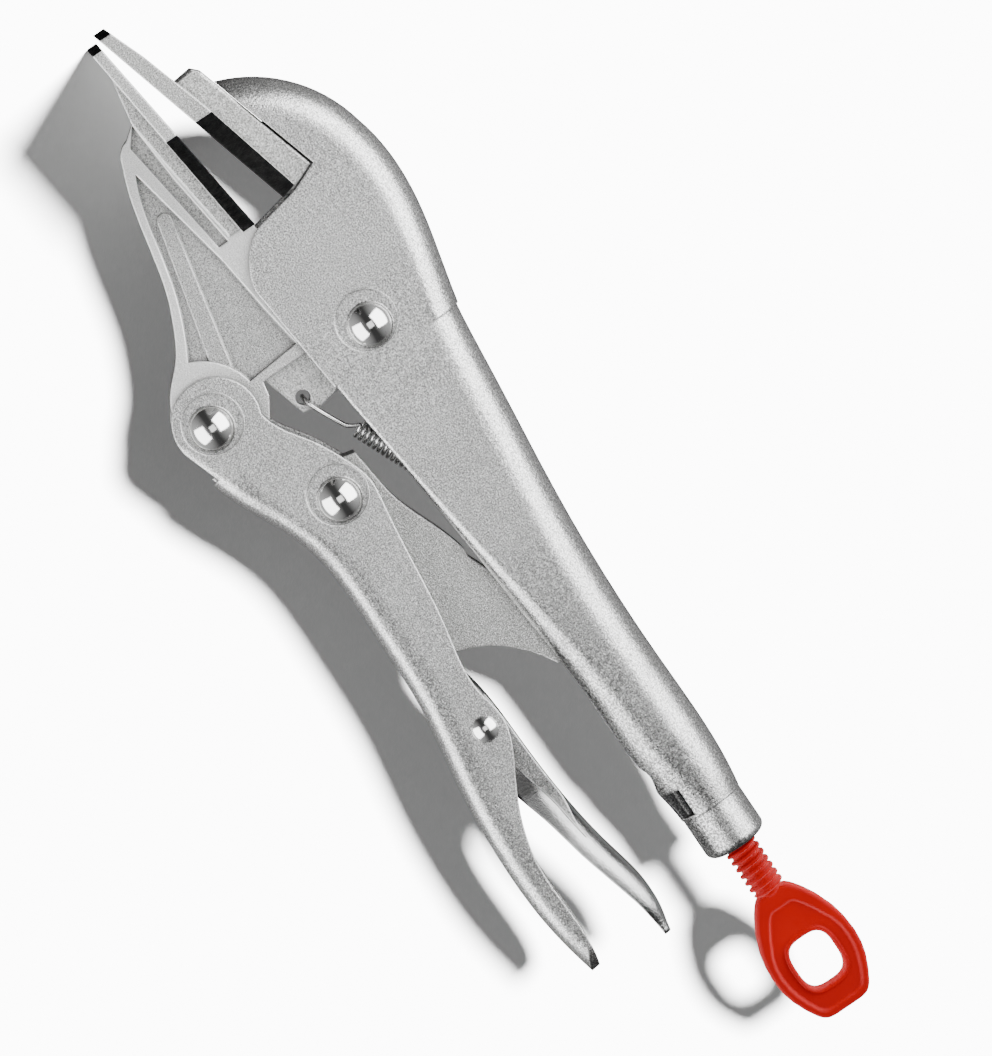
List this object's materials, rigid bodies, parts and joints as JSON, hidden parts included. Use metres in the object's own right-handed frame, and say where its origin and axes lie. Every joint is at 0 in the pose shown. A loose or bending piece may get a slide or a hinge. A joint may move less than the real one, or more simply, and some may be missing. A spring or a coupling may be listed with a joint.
{
  "type": "locking pliers",
  "caption": "Locking sheet-metal pliers with wide flat jaws, toggle linkage, release lever, tension spring and a red ring-headed adjusting screw.",
  "frame": {"origin": "middle of the line where the two lips meet, on the tool's middle plane", "axes": "+X to the tail, parallel to the adjusting screw; +Y towards the fixed handle's spine; +Z along the pivots, across the jaws' width"},
  "size_m": [0.2244, 0.0612, 0.08],
  "materials": {
    "satin_plate": "satin, fine shot-blasted grain under nickel-chrome plate",
    "jaw_plate": "satin, fine shot-blasted grain under nickel-chrome plate",
    "link_plate": "satin, fine grain",
    "bright_plate": "semi-bright, drawn sheet under chrome plate",
    "polished_rivet": "polished domes",
    "spring_wire": "bright drawn wire",
    "red_coat": "smooth red coating, semi-gloss"
  },
  "bodies": {
    "fixed_body": {"fixed_handle": "satin_plate", "fixed_jaw": "jaw_plate", "threaded_collar": "satin_plate", "jaw_rivet": "polished_rivet", "tension_spring": "spring_wire"},
    "screw": {"adjusting_screw": "red_coat"},
    "moving_jaw": {"moving_jaw": "jaw_plate"},
    "moving_handle": {"moving_handle": "satin_plate", "handle_rivet": "polished_rivet", "link_rivet": "polished_rivet", "lever_rivet": "polished_rivet"},
    "toggle_link": {"toggle_link": "link_plate"},
    "release_lever": {"release_lever": "bright_plate"}
  },
  "joints": [
    {"name": "jaw_pivot", "type": "hinge", "parent": "fixed_body", "child": "moving_jaw", "pos_m": [0.0701, 0.0122, 0], "axis": [0, 0, 1], "range_deg": [0, 18], "deforming": ["tension_spring"]},
    {"name": "handle_pivot", "type": "hinge", "parent": "moving_jaw", "child": "moving_handle", "pos_m": [0.0696, -0.0217, 0], "axis": [0, 0, 1], "range_deg": [-57.6, 0]},
    {"name": "link_pivot", "type": "hinge", "parent": "moving_handle", "child": "toggle_link", "pos_m": [0.0931, -0.0099, 0], "axis": [0, 0, 1], "range_deg": [0, 63]},
    {"name": "lever_pivot", "type": "hinge", "parent": "moving_handle", "child": "release_lever", "pos_m": [0.1425, -0.0116, 0], "axis": [0, 0, 1], "range_deg": [-8, 0]},
    {"name": "screw_travel", "type": "slide", "parent": "fixed_body", "child": "screw", "axis": [1, 0, 0], "range_m": [0, 0.012]}
  ],
  "couplings": [
    {"joint": "handle_pivot", "follows": "jaw_pivot", "ratio": -3.2},
    {"joint": "link_pivot", "follows": "jaw_pivot", "ratio": 3.5}
  ]
}
